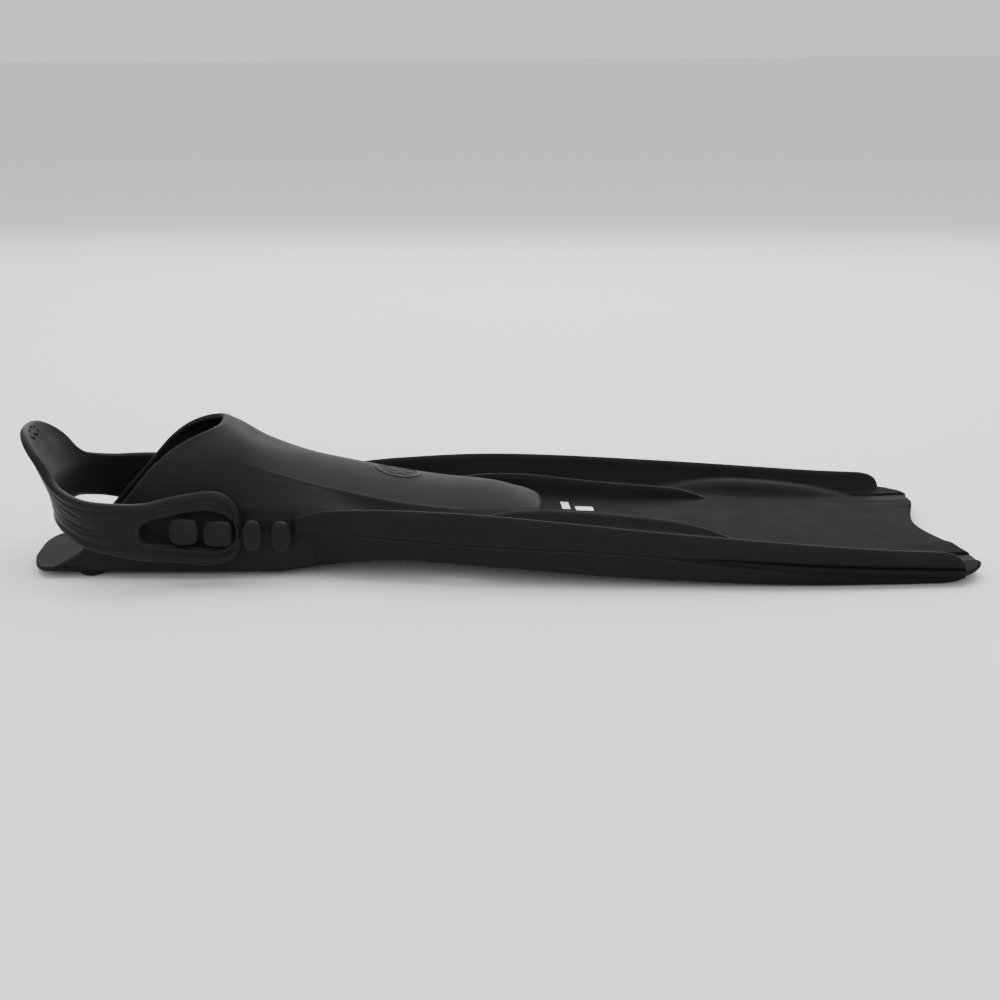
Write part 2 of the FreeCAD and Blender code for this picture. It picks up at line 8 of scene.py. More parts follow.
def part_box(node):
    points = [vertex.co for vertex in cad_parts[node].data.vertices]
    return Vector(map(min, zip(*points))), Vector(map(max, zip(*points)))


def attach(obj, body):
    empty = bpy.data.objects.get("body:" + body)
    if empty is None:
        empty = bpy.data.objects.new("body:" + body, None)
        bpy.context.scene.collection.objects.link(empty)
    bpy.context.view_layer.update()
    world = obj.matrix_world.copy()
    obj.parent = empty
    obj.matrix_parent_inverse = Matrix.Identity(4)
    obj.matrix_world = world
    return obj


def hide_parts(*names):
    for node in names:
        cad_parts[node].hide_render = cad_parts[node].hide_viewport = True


# One open-heel swim fin: +X from the heel to the blade's tip, +Y to the wearer's left, +Z up.
# Stations along the fin are millimetres from the heel's rear edge, and heights are millimetres from the
# floor, as in the CAD. place() turns them into the frame's metres.

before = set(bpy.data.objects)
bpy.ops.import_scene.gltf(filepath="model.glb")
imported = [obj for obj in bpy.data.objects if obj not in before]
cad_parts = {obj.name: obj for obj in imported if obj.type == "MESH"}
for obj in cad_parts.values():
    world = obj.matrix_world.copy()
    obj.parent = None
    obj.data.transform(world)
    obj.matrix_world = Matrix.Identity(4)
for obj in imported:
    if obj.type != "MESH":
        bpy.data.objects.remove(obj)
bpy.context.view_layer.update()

MM = 0.001
HEEL_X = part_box("sole_plate")[0][0]


def place(s, y, z):
    """A station, half width and height in millimetres, as a point of the frame in metres."""
    return Vector((HEEL_X + s * MM, y * MM, z * MM))


# --- driving curves, as (station, value) -------------------
# A rail's outer face stands RAIL_PROUD outside RAIL_HALF.

FIN_LENGTH = 640.0
RAIL_START, RAIL_END = 182.0, 622.0
RAIL_PROUD = 4.0
BLADE_ROOT = 300.0
TOE = 350.0
WALL = 3.6

RAIL_HALF = [(176, 52), (205, 57.5), (250, 67), (320, 81), (380, 89.5), (440, 94.5), (520, 98), (630, 98)]
RAIL_TOP = [(176, 41), (195, 45.6), (215, 48.2), (250, 49.5), (320, 47.5), (440, 36.5), (560, 25),
            (614, 21.4)]
RAIL_FOOT = [(176, 3.4), (200, 8), (220, 11.6), (253, 14.4), (320, 11.8), (380, 7.8), (445, 4), (511, 1),
             (562, 0.15), (612, 0.15)]
BLADE_MID = [(180, 31.5), (260, 30), (320, 28), (380, 24), (445, 18.5), (510, 13), (557, 10), (611, 7.6),
             (645, 8.0)]
SEAM = [(176, 34), (208, 32.2), (285, 27.8), (382, 24.6), (447, 19.2), (512, 13.6), (557, 10.8), (622, 7.6)]
FLANGE = [(290, -1.5), (400, -0.6), (440, 0.6), (500, 3.6), (560, 5), (622, 5.4)]
RIB_HALF = [(290, 58), (320, 50.5), (342, 46.4), (362, 43.9), (382, 41.9), (402, 41.6), (422, 42.6),
            (442, 45), (457, 48.3), (482, 51.5)]
RIB_TOP = [(290, 35.5), (302, 38.6), (320, 40.8), (342, 41.0), (362, 39.2), (382, 36.9), (402, 34.6),
           (422, 32.2), (442, 29.4), (457, 26.4), (468, 22.6), (480, 17.2)]
SOLE_FOOT = [(-2, 4.9), (10, 4.0), (30, 3.0), (60, 2.8), (150, 2.8), (176, 3.0), (200, 7.6), (250, 13.6),
             (296, 20.2), (352, 23.0)]
HEEL_HALF = [(0, 9), (0.4, 14), (1.6, 22), (3.6, 30), (7, 37), (12, 41.2), (24, 43.2), (45, 44.0)]

# Foot pocket: station, half width at the sole, at the side's widest, its height, crease half, height, top.
POCKET = [
    (6, 40, 42, 26, 33, 66, 84),
    (45, 44, 47, 32, 38, 74, 94),
    (90, 48, 52, 36, 42.5, 79, 100),
    (133, 51, 55, 38, 40, 80.5, 97.2),
    (160, 52, 55.5, 40, 38.5, 71, 82.5),
    (190, 52, 56, 42, 38, 61, 72.6),
    (220, 54, 58.5, 40, 39, 53.4, 65.3),
    (252, 57, 63, 36, 40, 46.2, 58),
    (285, 61, 66, 34, 39, 41.2, 52.5),
    (318, 55, 58, 32, 35, 38.2, 48.2),
    (338, 46, 48, 29.5, 30, 35.0, 41.5),
    (351, 38, 39.5, 27.4, 25, 29.8, 32.8),
]
POCKET_FLOOR = [(6, 4.6), (60, 4.4), (150, 4.4), (176, 5.4), (200, 9.6), (250, 15.8), (300, 21.6),
                (354, 24.6)]
RIM = [(6, 1), (13, 4.6), (19, 7.2), (26, 10.6), (33, 14.6), (39, 19.2), (46, 27), (56, 38.6), (70, 53.4),
       (87, 73), (98, 83), (107, 88.7), (117, 93), (126, 95.6), (133, 97.2)]
SIDES = (("left", 1), ("right", -1))


def value_at(points, station):
    """A smooth curve through (station, value) points: a cubic with the slopes of its neighbours."""
    if station <= points[0][0]:
        return points[0][1]
    if station >= points[-1][0]:
        return points[-1][1]
    i = max(k for k, p in enumerate(points[:-1]) if p[0] <= station)
    (s0, v0), (s1, v1) = points[i], points[i + 1]

    def slope(k):
        a, b = points[max(k - 1, 0)], points[min(k + 1, len(points) - 1)]
        return (b[1] - a[1]) / (b[0] - a[0])

    span = s1 - s0
    t = (station - s0) / span
    return ((2 * t ** 3 - 3 * t ** 2 + 1) * v0 + (t ** 3 - 2 * t ** 2 + t) * span * slope(i)
            + (-2 * t ** 3 + 3 * t ** 2) * v1 + (t ** 3 - t ** 2) * span * slope(i + 1))


def steps(start, end, count):
    """Evenly spaced values from start to end, both included."""
    return [start + (end - start) * i / (count - 1) for i in range(count)]


def turns(count):
    """Evenly spaced angles once round."""
    return [2 * math.pi * k / count for k in range(count)]


def smooth(low, high, value):
    """0 below low, 1 above high, eased between them."""
    t = min(1.0, max(0.0, (value - low) / (high - low)))
    return t * t * (3 - 2 * t)


def bump(distance, width):
    """A rounded bump: 1 at distance 0 and 0 at width."""
    t = min(1.0, abs(distance) / width)
    return (1 - t * t) ** 2


# --- meshes ------------------------------------------------

def finish_mesh(name, verts, faces, look, nodes=(), body="fin"):
    """A shaded piece from vertices and faces, riding on its body and standing for its CAD nodes."""
    mesh = bpy.data.meshes.new(name)
    mesh.from_pydata(verts, [], faces)
    bm = bmesh.new()
    bm.from_mesh(mesh)
    bmesh.ops.remove_doubles(bm, verts=bm.verts, dist=1e-6)
    bmesh.ops.recalc_face_normals(bm, faces=bm.faces)
    for f in bm.faces:
        f.smooth = True
    bm.to_mesh(mesh)
    bm.free()
    piece = bpy.data.objects.new(name, mesh)
    bpy.context.collection.objects.link(piece)
    piece.data.materials.append(LOOKS[look])
    if nodes:
        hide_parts(*nodes)
    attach(piece, body)
    return piece


def grid_faces(rows, columns, close_rows=False, close_columns=False, start=0):
    """Quads of a grid of vertices, row after row, joined round on itself where it says so."""
    made = []
    for i in range(rows if close_rows else rows - 1):
        for j in range(columns if close_columns else columns - 1):
            a = start + i * columns + j
            b = start + i * columns + (j + 1) % columns
            c = start + ((i + 1) % rows) * columns + (j + 1) % columns
            d = start + ((i + 1) % rows) * columns + j
            made.append((a, b, c, d))
    return made


def loft(rings):
    """Vertices and faces of closed rings joined one to the next, each end closed by a ladder of quads."""
    count = len(rings[0])
    verts = [p for ring in rings for p in ring]
    faces = grid_faces(len(rings), count, close_columns=True)
    half = count // 2
    for base in (0, (len(rings) - 1) * count):
        for i in range(half - 1):
            faces.append((base + i, base + i + 1, base + count - 2 - i, base + count - 1 - i))
    return verts, faces


def plate(top, under, rows):
    """Vertices and faces of a plate from the grids of its upper and lower faces, closed at its edges."""
    lower = len(top)
    width = lower // rows
    faces = grid_faces(rows, width) + grid_faces(rows, width, start=lower)
    sides = [(i * width + j, (i + 1) * width + j) for i in range(rows - 1) for j in (0, width - 1)]
    ends = [(i * width + j, i * width + j + 1) for j in range(width - 1) for i in (0, rows - 1)]
    faces += [(a, b, lower + b, lower + a) for a, b in sides + ends]
    return top + under, faces


def add_part(verts, faces, part_verts, part_faces):
    """Puts another part's vertices and faces at the end of a piece's lists."""
    shift = len(verts)
    verts += part_verts
    faces += [tuple(i + shift for i in face) for face in part_faces]


# --- materials ---------------------------------------------

def ramp(nodes, stops):
    """A colour ramp with the given (position, grey or colour) stops."""
    made = nodes.new("ShaderNodeValToRGB")
    elements = made.color_ramp.elements
    while len(elements) < len(stops):
        elements.new(0.5)
    for element, (position, colour) in zip(elements, stops):
        element.position = position
        element.color = (*colour, 1) if isinstance(colour, tuple) else (colour, colour, colour, 1)
    return made


LOOKS = {}


# edge sets how strongly the painted highlight shows along raised edges.
def moulded(name, dark, light, rough, gloss=0.12, grain=0.25, mottle=22.0, edge=0.35, scratch=0.0):
    """Keeps a look of moulded rubber or plastic: mottled, finely grained, unevenly glossy, with a painted
    highlight along raised edges.
    """
    made = bpy.data.materials.new(name)
    made.use_nodes = True
    nodes, links = made.node_tree.nodes, made.node_tree.links
    shader = nodes["Principled BSDF"]
    shader.inputs["Specular IOR Level"].default_value = gloss
    where = nodes.new("ShaderNodeTexCoord")

    def noise(scale, detail, distortion=0.0, vector=where.outputs["Object"]):
        node = nodes.new("ShaderNodeTexNoise")
        node.inputs["Scale"].default_value = scale
        node.inputs["Detail"].default_value = detail
        node.inputs["Distortion"].default_value = distortion
        links.new(vector, node.inputs["Vector"])
        return node

    def relief(source, strength, distance):
        node = nodes.new("ShaderNodeBump")
        node.inputs["Strength"].default_value = strength
        node.inputs["Distance"].default_value = distance
        links.new(source.outputs["Fac"], node.inputs["Height"])
        return node

    cloud = noise(mottle, 5.0, 0.6)
    speck = noise(1400.0, 2.0)
    blotch = noise(mottle * 3.4, 3.0, 0.3)
    colour = ramp(nodes, [(0.32, dark), (0.68, light)])
    links.new(cloud.outputs["Fac"], colour.inputs["Fac"])

    # Painted highlight: raised edges are painted paler, in place of the light that catches them.
    highlight_edges = nodes.new("ShaderNodeNewGeometry")
    highlight_ramp = ramp(nodes, [(0.50, 0.0), (0.58, 1.0)])
    links.new(highlight_edges.outputs["Pointiness"], highlight_ramp.inputs["Fac"])
    highlight_share = nodes.new("ShaderNodeMath")
    highlight_share.operation = "MULTIPLY"
    highlight_share.inputs[1].default_value = edge
    links.new(highlight_ramp.outputs["Color"], highlight_share.inputs[0])
    mix = nodes.new("ShaderNodeMix")
    mix.data_type = "RGBA"
    # The painted highlight's colour: the light tone brightened 2.6 times.
    mix.inputs["B"].default_value = (*[min(1.0, c * 2.6) for c in light], 1)
    links.new(highlight_share.outputs[0], mix.inputs["Factor"])
    links.new(colour.outputs["Color"], mix.inputs["A"])
    links.new(mix.outputs["Result"], shader.inputs["Base Color"])

    uneven = ramp(nodes, [(0.30, rough - 0.03), (0.72, rough + 0.04)])
    links.new(blotch.outputs["Fac"], uneven.inputs["Fac"])
    links.new(uneven.outputs["Color"], shader.inputs["Roughness"])

    fine = relief(speck, grain, 0.00012)
    last = fine
    if scratch:
        stretch = nodes.new("ShaderNodeMapping")
        stretch.inputs["Scale"].default_value = (0.05, 1.0, 1.0)
        links.new(where.outputs["Object"], stretch.inputs["Vector"])
        streak = noise(420.0, 2.0, vector=stretch.outputs["Vector"])
        last = relief(streak, scratch, 0.00015)
        links.new(fine.outputs["Normal"], last.inputs["Normal"])
    links.new(last.outputs["Normal"], shader.inputs["Normal"])
    LOOKS[name] = made


moulded("pocket_rubber", (0.0112, 0.0114, 0.0107), (0.0128, 0.0130, 0.0123), 0.58, gloss=0.09)
moulded("sole_plastic", (0.0072, 0.0074, 0.0070), (0.0086, 0.0088, 0.0084), 0.60, gloss=0.05)
moulded("blade_plastic", (0.0086, 0.0088, 0.0080), (0.0100, 0.0102, 0.0094), 0.62, gloss=0.02,
        mottle=14.0, scratch=0.10)
moulded("insert_rubber", (0.0066, 0.0068, 0.0066), (0.0080, 0.0082, 0.0080), 0.55, gloss=0.05)
moulded("rail_rubber", (0.0060, 0.0064, 0.0064), (0.0072, 0.0076, 0.0076), 0.52, mottle=18.0,
        scratch=0.10)
moulded("rib_rubber", (0.0062, 0.0066, 0.0066), (0.0074, 0.0078, 0.0078), 0.52)
moulded("peg_plastic", (0.0064, 0.0066, 0.0062), (0.0078, 0.0080, 0.0076), 0.48, mottle=60.0)
moulded("badge_plastic", (0.0084, 0.0086, 0.0082), (0.0100, 0.0102, 0.0098), 0.45, mottle=60.0)
moulded("strap_rubber", (0.0068, 0.0070, 0.0066), (0.0082, 0.0084, 0.0080), 0.47, mottle=30.0)
moulded("pad_rubber", (0.0060, 0.0060, 0.0060), (0.0080, 0.0080, 0.0080), 0.6)
moulded("print_ink", (0.62, 0.62, 0.60), (0.80, 0.80, 0.78), 0.55, grain=0.2, edge=0.0)


# --- foot pocket -------------------------------------------

CREASE = 0.43         # where the shoulder crease runs, as a share of the way from the top to the sole
CREASE_BEAD = 0.016   # half width of the crease's fine bead, in the same measure


def pocket_row(s):
    """The pocket's half widths and heights at a station, in the order of the table's columns."""
    return [value_at([(row[0], row[i]) for row in POCKET], s) for i in range(1, 7)]


def pocket_point(s, v):
    """A point of the pocket's outer surface: v is 0 along the top, -1 and 1 at the edges of the sole."""
    sole, side, side_z, crease, crease_z, top = pocket_row(s)
    floor = value_at(POCKET_FLOOR, s)
    w = abs(v)
    if w <= CREASE:
        # The crown is nearly square at the instep and turns into a gentle ridge towards the toe.
        power = 1.7 + 1.6 * (1 - smooth(140, 195, s))
        y, z = crease * w / CREASE, top - (top - crease_z) * (w / CREASE) ** power
        return y if v >= 0 else -y, z
    steep = smooth(195, 245, s)
    flank = crease + (side - crease) * (0.28 + 0.04 * steep)
    flank_z = crease_z - (crease_z - side_z) * (0.22 + 0.60 * steep)
    across = [(CREASE, crease, crease_z), (0.50, flank, flank_z), (0.66, side, side_z),
              (0.86, side * 0.4 + sole * 0.6, side_z * 0.35 + floor * 0.65), (1, sole, floor)]
    y = value_at([(a, b) for a, b, _ in across], w)
    z = value_at([(a, c) for a, _, c in across], w)
    return y if v >= 0 else -y, z


def rim_station(v):
    """The station where the rim cuts the pocket's surface at v."""
    low, high = 6.0, 137.0
    for _ in range(26):
        middle = (low + high) / 2
        if pocket_point(middle, v)[1] > value_at(RIM, middle):
            low = middle
        else:
            high = middle
    return high


def recess(s, v, z):
    """How deep the shallow seat behind the pegs is sunk into the side."""
    across = smooth(21, 25, z) * (1 - smooth(45.5, 47.5, z))
    along = smooth(84, 92, s) * (1 - smooth(181, 185, s))
    return 1.6 * across * along


def pocket_surface(s, v, inset=0.0):
    """The outer surface with its details, or the surface inset from it by that much."""
    def raw(a, b):
        y, z = pocket_point(a, b)
        return Vector((a, y, z))

    middle = raw(s, v)
    along = raw(s + 0.5, v) - raw(s - 0.5, v)
    across = raw(s, min(1.0, v + 0.004)) - raw(s, max(-1.0, v - 0.004))
    normal = across.cross(along).normalized()
    if normal.dot(middle - Vector((s, 0, value_at(POCKET_FLOOR, s) + 6))) < 0:
        normal.negate()
    sunk = inset + (recess(s, v, middle.z) if abs(v) > 0.5 and inset == 0 else 0.0)
    if inset <= 0:
        bead = smooth(150, 178, s) * (1 - smooth(284, 306, s))
        sunk -= 0.45 * bead * bump(abs(v) - CREASE, CREASE_BEAD)
    return middle - normal * sunk


def tongue_lift(s, v):
    """How far the tongue's end stands up off the blade."""
    return 2.4 * smooth(TOE - 20, TOE, s) * (1 - smooth(0.36, 0.5, abs(v)))


def make_pocket():
    """The soft upper as one closed skin: outside, rounded rim and inside."""
    near = [CREASE + CREASE_BEAD * f for f in (-1, -0.5, 0, 0.5, 1)]
    half = steps(0, CREASE - 0.028, 26) + near + steps(CREASE + 0.03, 1, 36)
    columns = [-v for v in reversed(half[1:])] + half
    rows = [0, 0.004, 0.009, 0.016, 0.026, 0.04] + steps(0.055, 1, 96)
    rim = [rim_station(v) for v in columns]

    def station(u, j):
        """Station of a column's point: u is 0 at the rim and 1 at the toe."""
        end = TOE - 6.0 * smooth(0.12, 0.75, abs(columns[j]))
        return rim[j] + (end - rim[j]) * u

    verts = []
    # Outside from the toe back to the rim, over the rim's rounded lip, and back inside to the toe.
    for u in reversed(rows):
        for j, v in enumerate(columns):
            s = station(u, j)
            lip = 0.7 * bump((s - rim[j]) - 1.2, 5.5)
            point = pocket_surface(s, v, -lip if lip > 0.01 else 0.0)
            verts.append(place(point.x, point.y, point.z + tongue_lift(s, v)))
    for angle in steps(20, 160, 6):
        for j, v in enumerate(columns):
            outer = pocket_surface(rim[j], v, -0.6)
            inner = pocket_surface(rim[j], v, WALL)
            ahead = (pocket_surface(rim[j], v) - pocket_surface(rim[j] + 1.0, v)).normalized()
            middle, reach = (outer + inner) / 2, (outer - inner) / 2
            a = math.radians(angle)
            point = middle + reach * math.cos(a) + ahead * reach.length * math.sin(a)
            verts.append(place(*point))
    for u in rows:
        for j, v in enumerate(columns):
            s = station(u, j)
            depth = WALL * (1 - 0.45 * smooth(TOE - 30, TOE, s))
            point = pocket_surface(s, v, depth)
            height = max(point.z, value_at(POCKET_FLOOR, s))
            verts.append(place(point.x, point.y, height + tongue_lift(s, v)))
    width = len(columns)
    count = len(verts) // width
    faces = grid_faces(count, width, close_rows=True)
    for j in (0, width - 1):
        for i in range(count // 2 - 1):
            a, b = i * width + j, (i + 1) * width + j
            c, d = (count - 2 - i) * width + j, (count - 1 - i) * width + j
            faces.append((a, b, c, d))
    finish_mesh("foot_pocket_upper", verts, faces, "pocket_rubber", ["foot_pocket"])


# --- sole --------------------------------------------------

def sole_half(s):
    """Half width of the sole: a blunt rounded heel, then the pocket's own edge."""
    return value_at(HEEL_HALF, s) if s < 45 else pocket_row(s)[0] + (44.0 - pocket_row(45)[0])


def make_sole():
    """The sole as one plate: a flat heel with a thin rear edge, and an edge that follows the pocket."""
    columns = [math.copysign(1 - (1 - abs(w)) ** 1.5, w) for w in steps(-1, 1, 49)]
    stations = [0.05, 0.4, 0.9, 1.6, 2.6, 3.6, 5, 7, 9.5, 12, 16, 20, 24] + steps(30, 352, 60)
    top, under = [], []
    for s in stations:
        half, base = sole_half(s), value_at(SOLE_FOOT, s)
        heel = 1 - smooth(2, 34, s)
        thick = 5.0 - 2.7 * heel
        under_blade = value_at(BLADE_MID, s) - 1.9
        for w in columns:
            inside = (1 - abs(w)) * half
            edge = max(0.0, 1 - inside / 5.0)
            foot = base + 1.8 * (1 - heel) * edge ** 2 + 0.5 * (1 - smooth(0, 1.6, s))
            rim = 0.5 * heel * bump(inside - 1.2, 1.6)
            upper = base + thick - 0.6 * edge ** 3 - 0.4 * (1 - smooth(0, 1.2, s)) + rim
            if s > BLADE_ROOT - 8:
                upper = min(upper, under_blade)
            top.append(place(s, half * w, upper))
            under.append(place(s, half * w, foot))
    verts, faces = plate(top, under, len(stations))
    finish_mesh("sole", verts, faces, "sole_plastic", ["sole_plate"])


def make_heel_pads():
    """Two round treads under the heel, each with a rounded edge and a ring groove."""
    verts, faces = [], []
    station, out, around = 42, 33, 36
    profile = [(0.01, 0.9), (2.0, 0.9), (2.6, 0.1), (4.8, 0.0), (5.2, 0.7), (6.0, 0.7), (6.4, 0.0),
               (7.6, 0.1), (8.3, 0.7), (8.5, 1.6), (8.5, 4.4), (0.01, 4.4)]
    for side in (-1, 1):
        start = len(verts)
        for radius, height in profile:
            for a in turns(around):
                verts.append(place(station + radius * math.cos(a), side * out + radius * math.sin(a), height))
        faces += grid_faces(len(profile), around, close_columns=True, start=start)
    finish_mesh("heel_treads", verts, faces, "pad_rubber", ["heel_pads"])


# --- rails -------------------------------------------------

NOSE = 15.0    # length of the rails' rounded ends


def rail_fade(s):
    """A rail grows out of the side: 0 where it starts and 1 a little further on."""
    return smooth(RAIL_START - 4, RAIL_START + 46, s)


def rail_end_drop(s, height):
    """How far a rail's edge has come in by s, for a quarter ellipse that is height tall at its end."""
    over = max(0.0, s - (RAIL_END - NOSE)) / NOSE
    return height * (1 - math.sqrt(max(0.0, 1 - over ** 2)))


def ledge(s):
    """0 where the rails meet at the seam, 1 where the blade's edge strip shows between them."""
    return smooth(415, 475, s)


def rail_outer(s, z):
    """Half width of a rail's outer face: slightly hollow, flush with the pocket's side where it starts."""
    seam = value_at(SEAM, s)
    lean = 0.10 * abs(z - seam) - 0.010 * abs(z - seam) ** 1.6
    rail = value_at(RAIL_HALF, s) + RAIL_PROUD - lean
    v = 0.66 + 0.34 * min(1.0, max(0.0, (40 - z) / 34))
    side = abs(pocket_point(min(s, 250), v)[0]) + 0.3 + 0.5 * smooth(RAIL_START - 2, RAIL_START + 12, s)
    return side + (rail - side) * rail_fade(s)


def rail_upper_ring(s, sign):
    """A rail's section above the seam: up the outer face, over the crest, and down the hollow inner face."""
    top = value_at(RAIL_TOP, s) - rail_end_drop(s, 11.0)
    seam = value_at(SEAM, s) + 1.7 * ledge(s)
    thick = 2.0 + 6.0 * rail_fade(s)
    high = top - seam
    inner = value_at(RAIL_HALF, s) + RAIL_PROUD - thick
    if s < 240:
        inner = min(inner, rail_outer(s, top) - 2.2)
    foot = value_at(BLADE_MID, s) + 1.0
    crest = rail_outer(s, top) - 1.4
    outside = [(rail_outer(s, seam) - 0.5 * ledge(s), seam), (rail_outer(s, seam + 0.8), seam + 0.8)]
    outside += [(rail_outer(s, seam + high * f), seam + high * f) for f in (0.22, 0.45, 0.7, 0.88)]
    outside += [(rail_outer(s, top - 0.9) - 0.1, top - 0.9), (crest + 0.8, top - 0.25), (crest, top)]
    face = [(crest - 0.9, top - 0.25), (crest - 1.7, top - 1.1)]
    face += [(crest - 1.9 + (inner - crest + 1.9) * f ** 1.5, top - 1.2 - (top - 1.2 - foot) * f)
             for f in (0.18, 0.36, 0.55, 0.75, 0.92, 1.0)]
    ring = outside + face + [(inner - 0.4, foot - 0.5)]
    return [place(s, sign * y, z) for y, z in ring]


def rail_lower_ring(s, sign):
    """A rail's section below the seam: down from the seam's bead, under the foot, and up the inner face."""
    foot = value_at(RAIL_FOOT, s) + rail_end_drop(s, 5.4)
    seam = value_at(SEAM, s) - 1.7 * ledge(s)
    thick = 3.0 + 5.0 * rail_fade(s)
    inner = value_at(RAIL_HALF, s) + RAIL_PROUD - thick
    if s < 240:
        inner = min(inner, rail_outer(s, foot + 6) - 3.0)
    deep = seam - foot
    bead = 0.6 * (1 - smooth(440, 470, s)) * rail_fade(s)
    outside = [(rail_outer(s, seam) - 1.6, seam), (rail_outer(s, seam) + bead * 0.6, seam),
               (rail_outer(s, seam) + bead, seam - 0.4), (rail_outer(s, seam) + bead, seam - 1.1),
               (rail_outer(s, seam - 2.2) + bead * 0.4, seam - 2.2)]
    outside += [(rail_outer(s, seam - deep * f) - 0.10 * deep * f, seam - deep * f)
                for f in (0.25, 0.5, 0.75, 0.9)]
    edge = outside[-1][0]
    under = [(edge - 0.6, foot + 0.5), (edge - 1.6, foot), ((edge + inner) / 2, foot),
             (inner + 0.6, foot + 0.2)]
    inside = [(inner, foot + 1.2), (inner - 0.1, foot + deep * 0.5), (inner - 0.4, seam - 0.4)]
    inside.append(((inner + outside[0][0]) / 2, seam - 0.1))
    ring = outside + under + inside
    return [place(s, sign * y, z) for y, z in ring]


def make_rails():
    """The four rails, lofted from where they grow out of the pocket's side to their rounded ends."""
    ends = [RAIL_END - NOSE + NOSE * math.sin(math.radians(a)) for a in (25, 40, 52, 63, 72, 80, 86, 89.5)]
    stations = steps(RAIL_START - 2, RAIL_START + 60, 22)
    stations += steps(RAIL_START + 66, RAIL_END - NOSE, 64) + ends
    for side, sign in SIDES:
        for level, ring in (("upper", rail_upper_ring), ("lower", rail_lower_ring)):
            verts, faces = loft([ring(s, sign) for s in stations])
            finish_mesh(f"rail_{level}_{side}_skin", verts, faces, "rail_rubber",
                        [f"rail_{level}_{side}"])


# --- blade -------------------------------------------------

TIP_Y, CORNER_Y = 79.0, 103.0


def blade_edge(y):
    """Station of the blade's free edge at a distance y from the middle."""
    if abs(y) <= TIP_Y:
        return FIN_LENGTH - 18.0 * (0.5 + 0.5 * math.cos(math.pi * abs(y) / TIP_Y)) - 1.0
    share = (abs(y) - TIP_Y) / (CORNER_Y - TIP_Y)
    return FIN_LENGTH - 1.0 - 14.0 * share ** 2.2


def groove_inner(s):
    """Half width at the channel's inner edge, where the middle panel ends."""
    return value_at([(334, 56), (400, 60.5), (470, 63), (560, 64.5), (640, 65)], s)


def groove_outer(s):
    """Half width at the channel's outer edge."""
    return groove_inner(s) + 16.0 * smooth(330, 420, s)


def blade_half(s):
    """Half width of the blade with its edge strip, which comes out past the rail near the tip."""
    return value_at(RAIL_HALF, s) + RAIL_PROUD + value_at(FLANGE, s)


def blade_level(s, y):
    """Height of the blade's upper face without its relief: flat in the middle, at the seam by the rails."""
    mid = value_at(BLADE_MID, s) + 1.8
    return mid + (value_at(SEAM, s) + 1.6 - mid) * smooth(84, 96, abs(y))


def blade_top(s, y):
    """Height of the blade's upper face: a crowned panel, the sunk channels, and the edge strips."""
    a = abs(y)
    crown = 1.2 * max(0.0, 1 - (a / 64.0) ** 2) * smooth(340, 470, s)
    inner, outer = groove_inner(s), groove_outer(s)
    depth = 2.4 * smooth(334, 400, s)
    sunk = depth * smooth(inner - 0.9, inner + 0.3, a) * (1 - smooth(outer - 0.5, outer + 0.7, a))
    fold = 0.9 * bump(a - 47, 9) * smooth(560, 640, s)
    lines = 0.35 * sum(bump(a - c, 1.1) for c in (91.5, 95.0, 98.5)) * smooth(600, 616, s)
    return blade_level(s, y) + crown - sunk + fold + lines


def make_blade():
    """Upper and lower faces on one grid; its columns gather at the channels' edges and at the flange."""
    def columns_at(s):
        """The columns' half widths at a station, from the middle to the edge, on both sides."""
        inner, outer, half = groove_inner(s), groove_outer(s), blade_half(s)
        marks = [f * (inner - 2.2) for f in steps(0, 1, 17)]
        marks += [inner - 1.0, inner - 0.6, inner - 0.2, inner + 0.2, inner + 0.8]
        marks += [inner + 0.8 + (outer - 1.6 - inner) * f for f in (0.25, 0.5, 0.75, 1.0)]
        marks += [outer - 0.3, outer + 0.2, outer + 0.7, outer + 1.4]
        marks += [outer + 1.4 + (half - 2.2 - outer - 1.4) * f for f in steps(0.06, 1, 15)]
        marks += [half - 1.4, half - 0.7, half - 0.25, half]
        return [-m for m in reversed(marks[1:])] + marks

    count = 92
    top, under = [], []
    for i in range(count):
        u = i / (count - 1)
        u = 1 - (1 - u) ** 1.25
        nominal = columns_at(BLADE_ROOT + (blade_edge(60) - BLADE_ROOT) * u)
        for j, y in enumerate(nominal):
            s = BLADE_ROOT + (blade_edge(y) - BLADE_ROOT) * u
            half = blade_half(s)
            tuck = max(0.0, 1 - (blade_edge(y) - s) / 1.8) if u > 0.9 else 0.0
            side = max(0.0, 1 - (half - abs(y)) / 1.6)
            thin = min(1.0, max(tuck, side)) ** 2 * 1.5
            high = blade_top(s, y)
            thick = 3.6 + 0.4 * smooth(84, 96, abs(y)) - 1.2 * smooth(560, 640, s)
            low = min(high, blade_level(s, y)) - thick
            top.append(place(s, y, high - thin))
            under.append(place(s, y, low + thin))
    verts, faces = plate(top, under, count)
    finish_mesh("blade", verts, faces, "blade_plastic", ["blade_panel"])


